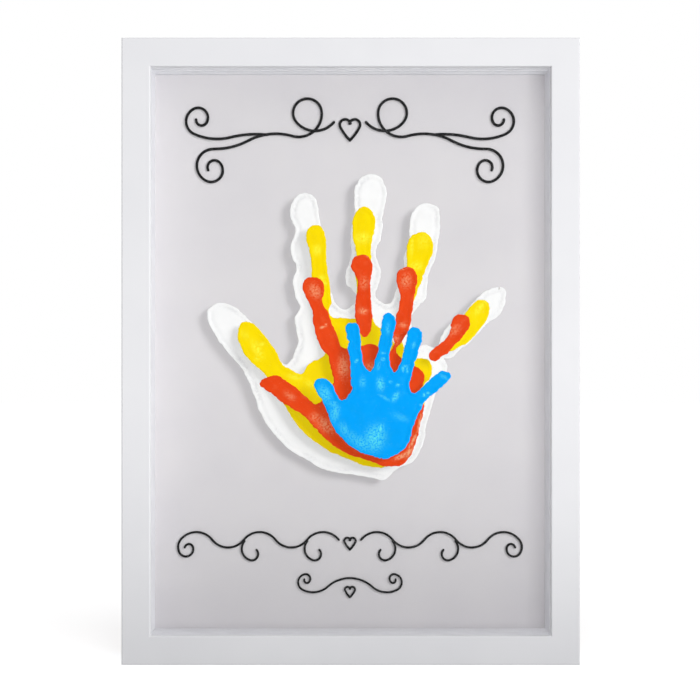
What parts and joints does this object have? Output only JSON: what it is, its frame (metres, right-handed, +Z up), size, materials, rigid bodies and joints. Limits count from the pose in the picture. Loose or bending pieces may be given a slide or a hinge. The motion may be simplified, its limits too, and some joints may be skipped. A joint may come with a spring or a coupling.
{
  "type": "picture frame",
  "caption": "Deep white picture frame with clear sheets stacked behind the pane, each with one painted handprint, and a back panel held by turn buttons.",
  "frame": {"origin": "under the middle of the whole depth, on the bottom rail's lower face", "axes": "+Z up, the front faces -Y, +X to the right seen from the front"},
  "size_m": [0.276, 0.0408, 0.3776],
  "materials": {
    "white_painted_wood": "smooth satin paint",
    "clear_glass": "polished",
    "clear_acrylic": "polished",
    "white_spacer_plastic": "matt",
    "blue_paint": "satin paint",
    "red_paint": "satin paint",
    "yellow_paint": "satin paint",
    "white_paint": "satin paint",
    "grey_card": "matt card",
    "black_vinyl": "satin",
    "brown_hardboard": "raw hardboard",
    "nail_steel": "bare",
    "zinc_steel": "zinc plated",
    "brass_plate": "brass plated",
    "bumper_rubber": "matt"
  },
  "bodies": {
    "root": {"top_rail": "white_painted_wood", "bottom_rail": "white_painted_wood", "left_rail": "white_painted_wood", "right_rail": "white_painted_wood", "front_pane": "clear_glass", "spacer_frame_1": "white_spacer_plastic", "spacer_frame_2": "white_spacer_plastic", "spacer_frame_3": "white_spacer_plastic", "spacer_frame_4": "white_spacer_plastic", "spacer_frame_5": "white_spacer_plastic", "blue_print_sheet": "clear_acrylic", "red_print_sheet": "clear_acrylic", "yellow_print_sheet": "clear_acrylic", "white_print_sheet": "clear_acrylic", "blue_handprint": "blue_paint", "red_handprint": "red_paint", "yellow_handprint": "yellow_paint", "white_handprint": "white_paint", "backing_card": "grey_card", "title_ornament": "black_vinyl", "line_ornament": "black_vinyl", "foot_ornament": "black_vinyl", "back_panel": "brown_hardboard", "corner_v_nails": "nail_steel", "turn_button_screws": "zinc_steel", "hanger_plate": "brass_plate", "hanger_screws": "brass_plate", "wall_bumpers": "bumper_rubber"},
    "top_turn_button_1": {"top_turn_button_1": "zinc_steel"},
    "top_turn_button_2": {"top_turn_button_2": "zinc_steel"},
    "bottom_turn_button_1": {"bottom_turn_button_1": "zinc_steel"},
    "bottom_turn_button_2": {"bottom_turn_button_2": "zinc_steel"},
    "right_turn_button_1": {"right_turn_button_1": "zinc_steel"},
    "right_turn_button_2": {"right_turn_button_2": "zinc_steel"},
    "left_turn_button_1": {"left_turn_button_1": "zinc_steel"},
    "left_turn_button_2": {"left_turn_button_2": "zinc_steel"},
    "hanger_ring": {"hanger_ring": "brass_plate"}
  },
  "joints": [
    {"name": "top_turn_button_1_turn", "type": "hinge", "parent": "root", "child": "top_turn_button_1", "pos_m": [-0.07, 0.0157, 0.3725], "axis": [0, 1, 0], "continuous": true},
    {"name": "top_turn_button_2_turn", "type": "hinge", "parent": "root", "child": "top_turn_button_2", "pos_m": [0.07, 0.0157, 0.3725], "axis": [0, 1, 0], "continuous": true},
    {"name": "bottom_turn_button_1_turn", "type": "hinge", "parent": "root", "child": "bottom_turn_button_1", "pos_m": [0.07, 0.0157, 0.0051], "axis": [0, 1, 0], "continuous": true},
    {"name": "bottom_turn_button_2_turn", "type": "hinge", "parent": "root", "child": "bottom_turn_button_2", "pos_m": [-0.07, 0.0157, 0.0051], "axis": [0, 1, 0], "continuous": true},
    {"name": "right_turn_button_1_turn", "type": "hinge", "parent": "root", "child": "right_turn_button_1", "pos_m": [0.1329, 0.0157, 0.2988], "axis": [0, 1, 0], "continuous": true},
    {"name": "right_turn_button_2_turn", "type": "hinge", "parent": "root", "child": "right_turn_button_2", "pos_m": [0.1329, 0.0157, 0.0788], "axis": [0, 1, 0], "continuous": true},
    {"name": "left_turn_button_1_turn", "type": "hinge", "parent": "root", "child": "left_turn_button_1", "pos_m": [-0.1329, 0.0157, 0.0788], "axis": [0, 1, 0], "continuous": true},
    {"name": "left_turn_button_2_turn", "type": "hinge", "parent": "root", "child": "left_turn_button_2", "pos_m": [-0.1329, 0.0157, 0.2988], "axis": [0, 1, 0], "continuous": true},
    {"name": "hanger_ring_swing", "type": "hinge", "parent": "root", "child": "hanger_ring", "pos_m": [0, 0.0179, 0.3725], "axis": [1, 0, 0], "range_deg": [0, 180]}
  ]
}
